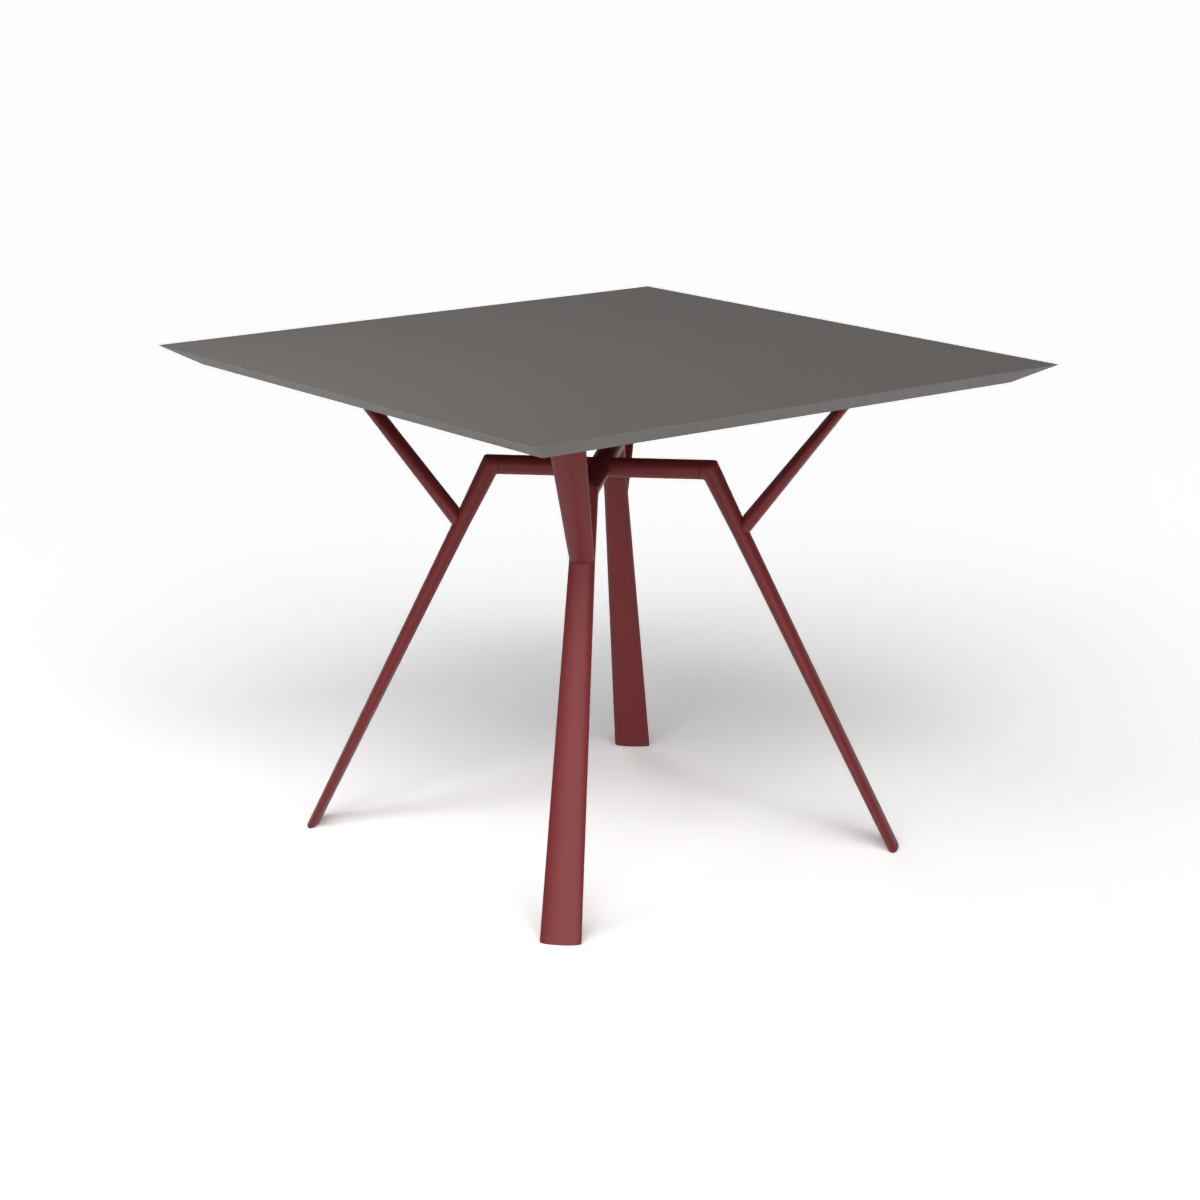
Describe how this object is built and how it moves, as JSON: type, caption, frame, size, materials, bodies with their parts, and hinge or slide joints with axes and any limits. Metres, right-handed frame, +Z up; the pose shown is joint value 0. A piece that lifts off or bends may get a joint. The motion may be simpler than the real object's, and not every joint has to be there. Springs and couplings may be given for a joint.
{
  "type": "square dining table",
  "caption": "Square dining table: thin grey top with a bevelled underside on a red frame whose splayed legs fork into branches and meet in a cross of arms.",
  "frame": {"origin": "on the floor under the middle of the top", "axes": "+Z up, X and Y along the sides of the top, so that the legs stand on the diagonals"},
  "size_m": [0.95, 0.95, 0.752],
  "materials": {
    "red_powder_coat": "satin",
    "grey_top_coat": "matte",
    "red_backing": "matte",
    "paper_core": "matte",
    "plywood": "matte",
    "zinc_steel": "satin",
    "black_glide": "matte"
  },
  "bodies": {
    "root": {"top_skin": "grey_top_coat", "top_core": "paper_core", "underside_panel": "red_backing", "arm_front_right": "red_powder_coat", "arm_back_right": "red_powder_coat", "arm_back_left": "red_powder_coat", "arm_front_left": "red_powder_coat", "leg_front_right": "red_powder_coat", "leg_back_right": "red_powder_coat", "leg_back_left": "red_powder_coat", "leg_front_left": "red_powder_coat", "branch_front_right": "red_powder_coat", "branch_back_right": "red_powder_coat", "branch_back_left": "red_powder_coat", "branch_front_left": "red_powder_coat", "mounting_plate_front_right": "red_powder_coat", "mounting_plate_back_right": "red_powder_coat", "mounting_plate_back_left": "red_powder_coat", "mounting_plate_front_left": "red_powder_coat", "fixing_block_front_right": "plywood", "fixing_block_back_right": "plywood", "fixing_block_back_left": "plywood", "fixing_block_front_left": "plywood", "foot_glide_front_right": "black_glide", "foot_glide_back_right": "black_glide", "foot_glide_back_left": "black_glide", "foot_glide_front_left": "black_glide", "insert_nuts": "zinc_steel", "plate_screws": "zinc_steel", "arm_set_screws": "zinc_steel", "branch_studs": "zinc_steel"}
  },
  "joints": []
}
